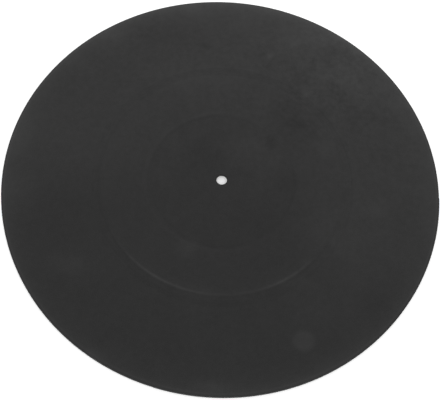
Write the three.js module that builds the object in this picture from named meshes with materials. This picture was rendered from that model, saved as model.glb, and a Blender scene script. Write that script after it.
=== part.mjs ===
// Turntable platter mat: one disc of black rubber, moulded in a single piece.
// It lies loose on the platter, and the record lies on it. The spindle comes up through the
// hole in its middle. A shallow recess takes the record's thick label, and a channel further
// out takes the raised rim of a seven-inch record, so that both sizes of record lie flat.
// Millimetres, +Z up. The origin is on the spindle's axis, at the underside.

import * as THREE from "three";

// The disc
const MAT_DIAMETER = 295;
const MAT_THICKNESS = 3;
const UPPER_EDGE_RADIUS = 0.8;
const LOWER_EDGE_RADIUS = 0.5;

// The hole for the spindle, rounded where it meets the two faces
const SPINDLE_HOLE_DIAMETER = 7.2;
const HOLE_EDGE_RADIUS = 0.6;

// The recess for the label: its flat floor, and the sloping wall round it
const LABEL_FLOOR_DIAMETER = 97.2;
const LABEL_WALL_RUN = 1.9;
const LABEL_RECESS_DEPTH = 0.6;

// The channel for a seven-inch record's rim: its flat floor, and the slope on each side of it
const CHANNEL_FLOOR_MEAN_DIAMETER = 171.4;
const CHANNEL_FLOOR_WIDTH = 4.6;
const CHANNEL_INNER_WALL_RUN = 1.9;
const CHANNEL_OUTER_WALL_RUN = 1.4;
const CHANNEL_DEPTH = 0.5;

// The soft corner where a sloping wall meets a face or a floor
const WALL_BLEND_RADIUS = 1.5;

// How finely the round forms are divided
const TURN_SEGMENTS = 120;
const ARC_STEP = Math.PI / 8;
const LEAST_ARC_STEPS = 2;

// One corner of the mat's section: its distance from the axis, its height and its rounding.
const corner = (radius, height, rounding) => ({
  at: new THREE.Vector2(radius, height),
  rounding,
});

// The points of one corner's arc, which is tangent to both of the sides that meet there.
// No arc takes more than half of a side, so the arcs at the two ends of a short wall fit it.
function cornerArc(before, { at, rounding }, after) {
  const toBefore = before.at.clone().sub(at);
  const toAfter = after.at.clone().sub(at);
  const longestTangent = Math.min(toBefore.length(), toAfter.length()) / 2;
  toBefore.normalize();
  toAfter.normalize();

  const halfAngle = Math.acos(toBefore.dot(toAfter)) / 2;
  const tangent = Math.min(rounding / Math.tan(halfAngle), longestTangent);
  const toCentre = toBefore.clone().add(toAfter).setLength(tangent / Math.cos(halfAngle));
  const centre = at.clone().add(toCentre);
  const start = at.clone().addScaledVector(toBefore, tangent);

  const turn = Math.PI - 2 * halfAngle;
  const side = Math.sign(toAfter.cross(toBefore));
  const steps = Math.max(LEAST_ARC_STEPS, Math.ceil(turn / ARC_STEP));
  return Array.from({ length: steps + 1 }, (_, step) =>
    start.clone().rotateAround(centre, (side * turn * step) / steps),
  );
}

// A closed section: each corner in turn, rounded, and the first point again at the end.
function closedSection(corners) {
  const count = corners.length;
  const points = corners.flatMap((here, index) =>
    cornerArc(corners.at(index - 1), here, corners[(index + 1) % count]),
  );
  return [...points, points[0].clone()];
}

// The mat cut on one side of the axis, anticlockwise from the foot of the hole: out along the
// flat underside, up the rim, and back in over the channel and the label recess to the hole.
function matSection() {
  const holeRadius = SPINDLE_HOLE_DIAMETER / 2;
  const rimRadius = MAT_DIAMETER / 2;
  const face = MAT_THICKNESS;

  const labelRadius = LABEL_FLOOR_DIAMETER / 2;
  const labelFloor = face - LABEL_RECESS_DEPTH;

  const channelInner = (CHANNEL_FLOOR_MEAN_DIAMETER - CHANNEL_FLOOR_WIDTH) / 2;
  const channelOuter = (CHANNEL_FLOOR_MEAN_DIAMETER + CHANNEL_FLOOR_WIDTH) / 2;
  const channelFloor = face - CHANNEL_DEPTH;

  return closedSection([
    corner(holeRadius, 0, HOLE_EDGE_RADIUS),
    corner(rimRadius, 0, LOWER_EDGE_RADIUS),
    corner(rimRadius, face, UPPER_EDGE_RADIUS),
    corner(channelOuter + CHANNEL_OUTER_WALL_RUN, face, WALL_BLEND_RADIUS),
    corner(channelOuter, channelFloor, WALL_BLEND_RADIUS),
    corner(channelInner, channelFloor, WALL_BLEND_RADIUS),
    corner(channelInner - CHANNEL_INNER_WALL_RUN, face, WALL_BLEND_RADIUS),
    corner(labelRadius + LABEL_WALL_RUN, face, WALL_BLEND_RADIUS),
    corner(labelRadius, labelFloor, WALL_BLEND_RADIUS),
    corner(holeRadius, labelFloor, HOLE_EDGE_RADIUS),
  ]);
}

// Matt black rubber, a little greyed by handling.
function blackRubber() {
  return new THREE.MeshStandardMaterial({
    name: "black_rubber",
    color: 0x333333,
    roughness: 0.7,
    metalness: 0,
  });
}

// The section turned round the spindle's axis, which a lathe keeps along Y, and stood up along Z.
function platterMat() {
  const geometry = new THREE.LatheGeometry(matSection(), TURN_SEGMENTS);
  geometry.rotateX(Math.PI / 2);
  const mat = new THREE.Mesh(geometry, blackRubber());
  mat.name = "platter_mat";
  return mat;
}

const turntableMat = new THREE.Group();
turntableMat.name = "turntable_platter_mat";
turntableMat.add(platterMat());

export default turntableMat;
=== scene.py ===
# The looks of a turntable's platter mat, laid over its solid model.
# Metres throughout, in the solid model's own frame: the underside lies on Z = 0, and the
# spindle's axis is the Z axis.

import math

import bmesh
import bpy
from mathutils import Matrix, Vector


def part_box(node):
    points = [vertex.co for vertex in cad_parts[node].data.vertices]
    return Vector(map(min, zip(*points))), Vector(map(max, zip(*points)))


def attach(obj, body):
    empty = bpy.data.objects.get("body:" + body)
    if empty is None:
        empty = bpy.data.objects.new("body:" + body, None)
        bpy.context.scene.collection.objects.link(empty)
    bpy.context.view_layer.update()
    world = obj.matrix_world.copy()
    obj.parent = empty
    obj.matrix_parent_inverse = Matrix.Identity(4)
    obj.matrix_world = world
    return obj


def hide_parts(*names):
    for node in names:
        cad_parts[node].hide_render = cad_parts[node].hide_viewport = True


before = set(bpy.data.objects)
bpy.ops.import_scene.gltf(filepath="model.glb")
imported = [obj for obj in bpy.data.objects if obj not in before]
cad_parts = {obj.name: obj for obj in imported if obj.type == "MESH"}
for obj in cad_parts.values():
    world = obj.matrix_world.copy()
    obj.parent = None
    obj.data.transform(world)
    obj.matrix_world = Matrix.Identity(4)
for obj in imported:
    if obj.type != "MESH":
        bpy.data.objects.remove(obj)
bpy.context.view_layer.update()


# The mat's form
# One disc of rubber, pressed in a flat mould and lifted out whole, with no seam or second layer.
# Its recess clears a record's thick label, and its channel the raised rim of a small record.

MM = 0.001

RIM_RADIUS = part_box("platter_mat")[1].x
FACE_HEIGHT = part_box("platter_mat")[1].z
HOLE_RADIUS = 3.6 * MM

LABEL_FLOOR_RADIUS = 48.6 * MM
LABEL_EDGE_RADIUS = LABEL_FLOOR_RADIUS + 1.9 * MM
LABEL_FLOOR_HEIGHT = FACE_HEIGHT - 0.6 * MM

CHANNEL_FLOOR_INNER = 83.4 * MM
CHANNEL_FLOOR_OUTER = 88.0 * MM
CHANNEL_EDGE_INNER = CHANNEL_FLOOR_INNER - 1.9 * MM
CHANNEL_EDGE_OUTER = CHANNEL_FLOOR_OUTER + 1.4 * MM
CHANNEL_FLOOR_HEIGHT = FACE_HEIGHT - 0.5 * MM

# How far each kind of corner is cut back along its two sides before it is rounded
HOLE_ROUNDING = 0.6 * MM
LOWER_RIM_ROUNDING = 0.5 * MM
UPPER_RIM_ROUNDING = 0.8 * MM
WALL_ROUNDING = 0.45 * MM

# How finely the disc is divided round the axis and over each rounding, and how wide a border each
# flat face has beside its roundings
TURN_STEPS = 480
ROUNDING_STEPS = 5
FLAT_BORDER = 0.12 * MM

# How near two places lie when they count as one, and how upright a flat face's normal is
SAME_PLACE = 0.001 * MM
UPRIGHT = 0.99999

# The section on one side of the axis, from the foot of the hole: radius, height and rounding
SECTION = [
    (HOLE_RADIUS, 0.0, HOLE_ROUNDING),
    (RIM_RADIUS, 0.0, LOWER_RIM_ROUNDING),
    (RIM_RADIUS, FACE_HEIGHT, UPPER_RIM_ROUNDING),
    (CHANNEL_EDGE_OUTER, FACE_HEIGHT, WALL_ROUNDING),
    (CHANNEL_FLOOR_OUTER, CHANNEL_FLOOR_HEIGHT, WALL_ROUNDING),
    (CHANNEL_FLOOR_INNER, CHANNEL_FLOOR_HEIGHT, WALL_ROUNDING),
    (CHANNEL_EDGE_INNER, FACE_HEIGHT, WALL_ROUNDING),
    (LABEL_EDGE_RADIUS, FACE_HEIGHT, WALL_ROUNDING),
    (LABEL_FLOOR_RADIUS, LABEL_FLOOR_HEIGHT, WALL_ROUNDING),
    (HOLE_RADIUS, LABEL_FLOOR_HEIGHT, HOLE_ROUNDING),
]


def swept_ring(mesh, radius, height):
    """The edges that one corner of the section sweeps on its way round the axis."""
    def on_ring(vertex):
        across = vertex.co.xy.length - radius
        return abs(across) < SAME_PLACE and abs(vertex.co.z - height) < SAME_PLACE

    corner = {vertex for vertex in mesh.verts if on_ring(vertex)}
    return [edge for edge in mesh.edges if corner.issuperset(edge.verts)]


def moulded_disc():
    """The section spun once round, with each of its swept corners rounded."""
    mesh = bmesh.new()
    corners = [mesh.verts.new((radius, 0, height)) for radius, height, _ in SECTION]
    sides = [mesh.edges.new(pair) for pair in zip(corners, corners[1:] + corners[:1])]
    bmesh.ops.spin(
        mesh, geom=corners + sides, cent=(0, 0, 0), axis=(0, 0, 1), dvec=(0, 0, 0),
        angle=math.tau, steps=TURN_STEPS, use_merge=True,
    )
    bmesh.ops.recalc_face_normals(mesh, faces=mesh.faces)

    for radius, height, rounding in SECTION:
        bmesh.ops.bevel(
            mesh, geom=swept_ring(mesh, radius, height), offset=rounding, offset_type="OFFSET",
            affect="EDGES", segments=ROUNDING_STEPS, profile=0.5, material=-1,
        )

    # A narrow border keeps each flat's shading level right up to the rounding beside it.
    flats = [face for face in mesh.faces if abs(face.normal.z) > UPRIGHT]
    bmesh.ops.inset_region(
        mesh, faces=flats, thickness=FLAT_BORDER, use_boundary=True, use_even_offset=True,
    )
    for face in mesh.faces:
        face.smooth = True
    return mesh


def as_piece(name, mesh):
    """A finished mesh as an object of the scene, at the origin."""
    data = bpy.data.meshes.new(name)
    mesh.to_mesh(data)
    mesh.free()
    piece = bpy.data.objects.new(name, data)
    bpy.context.scene.collection.objects.link(piece)
    return piece


mat = as_piece("moulded_rubber_mat", moulded_disc())


# The rubber
# One black compound right through, matt from the mould with a fine grain. Years of handling have
# greyed it in soft clouds. Over that lies painted light: sheen beyond the middle, glare round the
# rim, a highlight on the channel's near lip, and shade in the darker rings at the foot of its
# walls.

DEGREE = math.radians(1)

# The compound's own black, and the grey of a full bloom on it, which the painted light uses too.
# Every grey in this section is a share of the way from the first to the second.
RUBBER = (0.0090, 0.0090, 0.0090, 1)
BLOOM_AND_PAINTED_LIGHT = (0.0850, 0.0850, 0.0850, 1)

# The grain that the mould leaves, and how rough it makes the skin and how little it mirrors
GRAIN_SIZE = 0.45 * MM
GRAIN_DEPTH = 0.12 * MM
ROUGHNESS = 0.51
GLOSS = 0.19

# A Mix node's sockets for colours share their names with others, so they go by number.
MIX_SHARE, MIX_FROM, MIX_TO, MIXED = 0, 6, 7, 2


class Shade:
    """One socket of a material's nodes. Sums on it add Math nodes."""

    def __init__(self, tree, socket=None):
        self.tree = tree
        self.socket = socket

    def node(self, kind, settings, inputs, output=0):
        """A new node: its settings first, then the values or links of its sockets."""
        made = self.tree.nodes.new(kind)
        for name, value in settings.items():
            setattr(made, name, value)
        for key, value in inputs.items():
            if isinstance(value, Shade):
                self.tree.links.new(value.socket, made.inputs[key])
            else:
                made.inputs[key].default_value = value
        return Shade(self.tree, made.outputs[output])

    def show(self, output_kind):
        """Join this shader to a new output of its tree."""
        output = self.tree.nodes.new(output_kind)
        self.tree.links.new(self.socket, output.inputs["Surface"])

    def math(self, operation, *values):
        """A Math node on these numbers or sockets."""
        return self.node("ShaderNodeMath", {"operation": operation}, dict(enumerate(values)))

    def __add__(self, other):
        return self.math("ADD", self, other)

    def __radd__(self, other):
        return self.math("ADD", other, self)

    def __sub__(self, other):
        return self.math("SUBTRACT", self, other)

    def __rsub__(self, other):
        return self.math("SUBTRACT", other, self)

    def __mul__(self, other):
        return self.math("MULTIPLY", self, other)

    def __rmul__(self, other):
        return self.math("MULTIPLY", other, self)

    def __truediv__(self, other):
        return self.math("DIVIDE", self, other)

    def rise(self, low, high):
        """0 up to low, 1 from high on, and a smooth slope between them."""
        return self.node(
            "ShaderNodeMapRange", {"interpolation_type": "SMOOTHSTEP"},
            {"Value": self, "From Min": low, "From Max": high},
        )

    def bell(self, centre, width):
        """1 at the centre, and falling away smoothly on both sides of it."""
        share = (self - centre) / width
        return self.math("EXPONENT", share * share * -1)


def emptied_tree(owner):
    """The node tree of a new material or world, with nothing in it yet."""
    owner.use_nodes = True
    owner.node_tree.nodes.clear()
    return Shade(owner.node_tree)


rubber = bpy.data.materials.new("black_rubber")
surface = emptied_tree(rubber)

position = surface.node("ShaderNodeTexCoord", {}, {}, output="Object")
right, back, up = (
    surface.node("ShaderNodeSeparateXYZ", {}, {"Vector": position}, output=axis) for axis in "XYZ"
)


def distance(rightward, backward):
    """The length of an offset across the mat, from its two parts."""
    return surface.math("SQRT", rightward * rightward + backward * backward)


def clouds(size, detail=2.0, roughness=0.5):
    """Soft blotches of about that size in metres, from 0 to 1 and near a half on average."""
    return surface.node(
        "ShaderNodeTexNoise", {"noise_dimensions": "3D"},
        {"Vector": position, "Scale": 1 / size, "Detail": detail, "Roughness": roughness},
        output="Fac",
    )


# How far out a place lies, and its angle round the axis from the near side towards the right
from_axis = distance(right, back)
turn = surface.math("ARCTAN2", right, 0 - back)

broad = clouds(70 * MM)
patchy = clouds(16 * MM, detail=5, roughness=0.6)
speckle = clouds(4 * MM, detail=3, roughness=0.6)
grain = clouds(GRAIN_SIZE, detail=3, roughness=0.6)

# The edges of stains wander, so stains are placed on coordinates that wander with them.
WANDER = 14 * MM
stain_right = right + (clouds(21 * MM, detail=4) - 0.5) * WANDER
stain_back = back + (clouds(17 * MM, detail=4) - 0.5) * WANDER

# Each stain's place right of the axis and back from it and its two half widths in millimetres,
# and how grey it is. A grey below nought is a place that was wiped dark again.
STAINS = [
    # In the label's recess
    (15, 29, 11, 9, 0.04),
    (30, 19, 19, 16, 0.045),
    (31, 31, 5, 4, -0.06),
    (-13, 15, 12, 12, -0.03),
    (24, -26, 24, 18, -0.02),
    (45, 1, 7, 9, -0.03),
    # Between the recess and the channel, and on the channel
    (-19, -52, 7, 6, 0.07),
    (-28, 77, 24, 10, 0.055),
    (54, 75, 5, 4, 0.06),
    (70, 33, 9, 16, 0.04),
    (55, -70, 13, 6, 0.045),
    (72, -32, 14, 19, 0.035),
    (49, 51, 30, 26, -0.04),
    (48, 47, 6, 5, -0.05),
    # Near side
    (-12, -84, 14, 18, 0.028),
    (6, -141, 9, 4, 0.07),
    (-70, -129, 6, 4, 0.06),
    (64, -86, 17, 12, 0.02),
    (104, -84, 10, 12, -0.025),
    # Left side
    (-68, -46, 46, 34, 0.02),
    (-94, -70, 14, 7, 0.06),
    (-134, -20, 15, 15, 0.07),
    (-89, 111, 8, 5, 0.07),
    (-141, 22, 10, 17, 0.06),
    # Right side
    (102, -13, 9, 7, 0.04),
    (96, -42, 28, 13, 0.025),
    (98, 86, 12, 9, 0.02),
    (70, 97, 13, 8, 0.02),
    (100, 43, 23, 24, -0.045),
    # Far side
    (-32, 138, 7, 5, 0.07),
    (26, 100, 2.2, 2.4, 0.14),
    (2, 112, 22, 14, -0.02),
    (50, 119, 26, 9, 0.06),
    (88, 109, 7, 5, -0.07),
    (-20, 107, 6, 4, -0.06),
    (-50, 115, 27, 18, -0.06),
]


def stain(place_right, place_back, half_width, half_depth, grey):
    """One soft oval of grey, from its row in the list."""
    share_right = (stain_right - place_right * MM) / (half_width * MM)
    share_back = (stain_back - place_back * MM) / (half_depth * MM)
    return distance(share_right, share_back).bell(0, 1) * grey


stains = sum(stain(*row) for row in STAINS)

# One round print, as a small foot leaves it: full within the smaller radius, gone at the larger,
# and a little ragged between them
PRINT_RIGHT = 59.5 * MM
PRINT_BACK = -107.5 * MM
PRINT_FULL_RADIUS = 4.5 * MM
PRINT_RADIUS = 9 * MM
PRINT_WANDER = 5 * MM
PRINT_GREY = 0.10
from_print = distance(right - PRINT_RIGHT, back - PRINT_BACK) + (patchy - 0.5) * PRINT_WANDER
round_print = (1 - from_print.rise(PRINT_FULL_RADIUS, PRINT_RADIUS)) * PRINT_GREY

# The grey of age, mixed with painted sheen: a film that thickens to the right, is mottled on the
# far right, and is thinnest in the recess, which a record's label covers. The lightening beyond
# the middle is partly that film and partly painted sheen, and the band on the left is a painted
# reflection.
MOTTLED_RIGHT = 72 * MM
MOTTLED_BACK = 96 * MM
MOTTLED_REACH = 42 * MM
outside_label = from_axis.rise(LABEL_FLOOR_RADIUS, LABEL_EDGE_RADIUS + 1 * MM)
far_side = (stain_back + stain_right * 0.12).rise(-55 * MM, 190 * MM)
right_side = stain_right.rise(38 * MM, 95 * MM) * stain_back.rise(-125 * MM, -20 * MM)
left_band = stain_back.rise(-32 * MM, 14 * MM) * (1 - stain_back.rise(20 * MM, 80 * MM))
left_side = (0 - stain_right).rise(10 * MM, 110 * MM) * left_band
mottled_place = distance(right - MOTTLED_RIGHT, back - MOTTLED_BACK).bell(0, MOTTLED_REACH)
dust_film_and_painted_sheen = (
    far_side * (0.065 + outside_label * 0.036 + patchy * 0.10 + speckle * 0.10)
    + mottled_place * ((patchy - 0.5) * 0.22 + (speckle - 0.5) * 0.10)
    + right_side * (0.015 + patchy * 0.06)
    + left_side * 0.06
)

# Painted glare makes the rim the greyest, most of all on its far side, and less so on the right
# and the near left. A pale line runs just inside its corner, and the corner itself is darker
# again.
to_rim = surface.math("EXPONENT", (from_axis - RIM_RADIUS) / (5.5 * MM))
painted_rim_glare = (
    to_rim * (0.158 + back.rise(20 * MM, 150 * MM) * 0.12 - right.rise(60 * MM, 150 * MM) * 0.06)
    - to_rim * turn.bell(-32 * DEGREE, 25 * DEGREE) * 0.06
    + from_axis.bell(RIM_RADIUS - 1.8 * MM, 0.6 * MM) * 0.05
    - from_axis.rise(RIM_RADIUS - 1.5 * MM, RIM_RADIUS - UPPER_RIM_ROUNDING) * 0.04
)

# Darker rings at the foot of each wall, and painted shade deepens them where the slopes face away
# from the light: on the near side at the foot of the label's recess and on the channel's outer
# wall, and on the far side inside the channel.
near_label = turn.bell(-8 * DEGREE, 32 * DEGREE)
near_channel = turn.bell(-5 * DEGREE, 45 * DEGREE)
foot_darkening_and_painted_shade = (
    from_axis.bell(LABEL_FLOOR_RADIUS + 0.4 * MM, 1.3 * MM) * 0.009
    + from_axis.bell(LABEL_FLOOR_RADIUS + 1 * MM, 1.1 * MM) * near_label * 0.04
    + from_axis.bell(CHANNEL_FLOOR_INNER + 0.4 * MM, 0.9 * MM) * 0.016
    + from_axis.bell(CHANNEL_FLOOR_OUTER + 0.7 * MM, 1.5 * MM) * near_channel * 0.03
    + from_axis.bell(CHANNEL_FLOOR_OUTER - 1.6 * MM, 1.1 * MM) * far_side * 0.045
    + from_axis.bell(CHANNEL_EDGE_INNER + 0.9 * MM, 0.8 * MM) * far_side * 0.04
)

# The recess's upper edge is paler all round but on the right. The rest is painted light: a
# painted highlight on the channel's inner lip on its near side, strongest in two long arcs left
# and right of the middle, and painted light on the recess's wall on the far right and on the
# channel's outer wall on the far side.
PALE_WALL_RIGHT = 31 * MM
PALE_WALL_BACK = 39 * MM
PALE_WALL_REACH = 30 * MM
lip_highlight_arcs = (
    turn.bell(-28 * DEGREE, 18 * DEGREE) * 0.9
    + turn.bell(35 * DEGREE, 12 * DEGREE) * 0.95
    + turn.bell(0, 42 * DEGREE) * 0.3
)
on_lip = from_axis.bell(CHANNEL_EDGE_INNER + 0.7 * MM, 0.9 * MM)
painted_lip_highlight = on_lip * lip_highlight_arcs * (0.4 + patchy * 1.3)
near_lip = turn.bell(5 * DEGREE, 45 * DEGREE)
paler_label_edge = 1 - right.rise(15 * MM, 45 * MM)
from_pale_wall = distance(right - PALE_WALL_RIGHT, back - PALE_WALL_BACK)
painted_wall_light = from_pale_wall.bell(0, PALE_WALL_REACH)
pale_edge_and_painted_light = (
    from_axis.bell(LABEL_EDGE_RADIUS + 1.4 * MM, 1.5 * MM) * paler_label_edge * 0.018
    + from_axis.bell(LABEL_FLOOR_RADIUS + 0.9 * MM, 1.1 * MM) * painted_wall_light * 0.07
    + from_axis.bell(CHANNEL_EDGE_OUTER - 0.2 * MM, 0.9 * MM) * far_side * 0.05
    + from_axis.bell(CHANNEL_EDGE_INNER - 1 * MM, 2.5 * MM) * near_lip * 0.025
    + painted_lip_highlight * 0.13
)

# The underside has stayed on the platter, so only the rubber's own unevenness shows there.
exposed = up.rise(0.1 * MM, LOWER_RIM_ROUNDING)
own_bloom = broad * 0.04 + patchy * 0.06 + speckle * 0.08 + (grain - 0.5) * 0.25
# The rubber's own greys, and on its upper side the greys of age with the painted light and shade.
bloom_and_painted_light = own_bloom + exposed * (dust_film_and_painted_sheen + painted_rim_glare + pale_edge_and_painted_light + round_print + stains - foot_darkening_and_painted_shade)
tint = surface.node(
    "ShaderNodeMix", {"data_type": "RGBA"},
    {MIX_SHARE: bloom_and_painted_light, MIX_FROM: RUBBER, MIX_TO: BLOOM_AND_PAINTED_LIGHT}, output=MIXED,
)
bump = surface.node(
    "ShaderNodeBump", {}, {"Height": grain, "Strength": 1.0, "Distance": GRAIN_DEPTH},
)
skin = surface.node(
    "ShaderNodeBsdfPrincipled", {},
    {
        "Base Color": tint,
        "Roughness": ROUGHNESS + patchy * 0.08 + grain * 0.10 - exposed * painted_lip_highlight * 0.10,
        "Specular IOR Level": GLOSS,
        "Normal": bump,
    },
)
skin.show("ShaderNodeOutputMaterial")

mat.data.materials.append(rubber)
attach(mat, "root")
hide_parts("platter_mat")


# The floor
# A plain white sheet just under the mat. The camera sees it as white paper in full light. Under
# the mat's middle it has little glow of its own, so the spindle hole shows it in the mat's shade.

FLOOR_REACH = 4.0
FLOOR_DROP = 0.05 * MM
WHITE_PAPER = (0.9, 0.9, 0.9, 1)
WHITE_LIGHT = (1, 1, 1, 1)
FLOOR_GLOW = 0.4
GLOW_IN_HOLE = 0.13
COVERED_RADIUS = 20 * MM


def seen_directly(shade):
    """1 for a ray from the camera, off a gloss or through a clear body, and 0 for any other."""
    camera_ray, glossy_ray, clear_ray = (
        shade.node("ShaderNodeLightPath", {}, {}, output=f"Is {kind} Ray")
        for kind in ("Camera", "Glossy", "Transmission")
    )
    return shade.math("MAXIMUM", camera_ray, shade.math("MAXIMUM", glossy_ray, clear_ray))


floor_mesh = bmesh.new()
bmesh.ops.create_grid(floor_mesh, x_segments=1, y_segments=1, size=FLOOR_REACH)
bmesh.ops.translate(floor_mesh, verts=floor_mesh.verts, vec=(0, 0, -FLOOR_DROP))
floor = as_piece("floor", floor_mesh)

paper = bpy.data.materials.new("white_paper")
ground = emptied_tree(paper)
on_floor = ground.node("ShaderNodeTexCoord", {}, {}, output="Object")
from_middle = ground.node(
    "ShaderNodeVectorMath", {"operation": "LENGTH"}, {0: on_floor}, output="Value",
)
beyond_middle = from_middle.rise(COVERED_RADIUS, 2 * COVERED_RADIUS)
from_below = ground.node("ShaderNodeNewGeometry", {}, {}, output="Backfacing")
uncovered = ground.math("MAXIMUM", beyond_middle, from_below)
glow = GLOW_IN_HOLE + (FLOOR_GLOW - GLOW_IN_HOLE) * uncovered
sheet = ground.node(
    "ShaderNodeBsdfPrincipled", {},
    {
        "Base Color": WHITE_PAPER,
        "Roughness": 1.0,
        "Specular IOR Level": 0.0,
        "Emission Color": WHITE_LIGHT,
        "Emission Strength": seen_directly(ground) * glow,
    },
)
sheet.show("ShaderNodeOutputMaterial")
floor.data.materials.append(paper)


# The light
# Soft light from all round, as in a white tent. A wide lamp beyond the mat lays a faint sheen on
# its far half, and a weak one over the camera catches the slopes that face it.

SKY_STRENGTH = 0.84


def soft_lamp(name, stands_at, size, power):
    """A square lamp of that size in metres, turned to face the mat."""
    lamp = bpy.data.lights.new(name, "AREA")
    lamp.size = size
    lamp.energy = power
    stand = bpy.data.objects.new(name, lamp)
    stand.location = stands_at
    stand.rotation_euler = (-Vector(stands_at)).to_track_quat("-Z", "Y").to_euler()
    bpy.context.scene.collection.objects.link(stand)


soft_lamp("far_lamp", stands_at=(0.45, 1.45, 1.55), size=1.5, power=4.0)
soft_lamp("near_lamp", stands_at=(0.0, -0.77, 1.73), size=0.6, power=2.6)

# The sky shows pure white, and lights the mat a little less than that.
daylight = bpy.data.worlds.new("daylight")
bpy.context.scene.world = daylight
sky = emptied_tree(daylight)
sky_strength = SKY_STRENGTH + (1 - SKY_STRENGTH) * seen_directly(sky)
background = sky.node(
    "ShaderNodeBackground", {}, {"Color": WHITE_LIGHT, "Strength": sky_strength},
)
background.show("ShaderNodeOutputWorld")


# The camera
# It looks down on the mat from the near side, a little turned about its own line of sight.

CAMERA_DISTANCE = 0.6114
CAMERA_ELEVATION = 63.68 * DEGREE
CAMERA_ROLL = 4.89 * DEGREE
CAMERA_AIM = Vector((0, -14.3 * MM, 0))
FOCAL_LENGTH = 73.69

towards_camera = Vector((0, -math.cos(CAMERA_ELEVATION), math.sin(CAMERA_ELEVATION)))
camera = bpy.data.objects.new("camera", bpy.data.cameras.new("camera"))
camera.data.lens = FOCAL_LENGTH
camera.location = CAMERA_DISTANCE * towards_camera
facing = (CAMERA_AIM - camera.location).to_track_quat("-Z", "Y").to_matrix()
camera.rotation_euler = (facing @ Matrix.Rotation(CAMERA_ROLL, 3, "Z")).to_euler()
bpy.context.scene.collection.objects.link(camera)
bpy.context.scene.camera = camera
bpy.context.scene.view_settings.view_transform = "Standard"
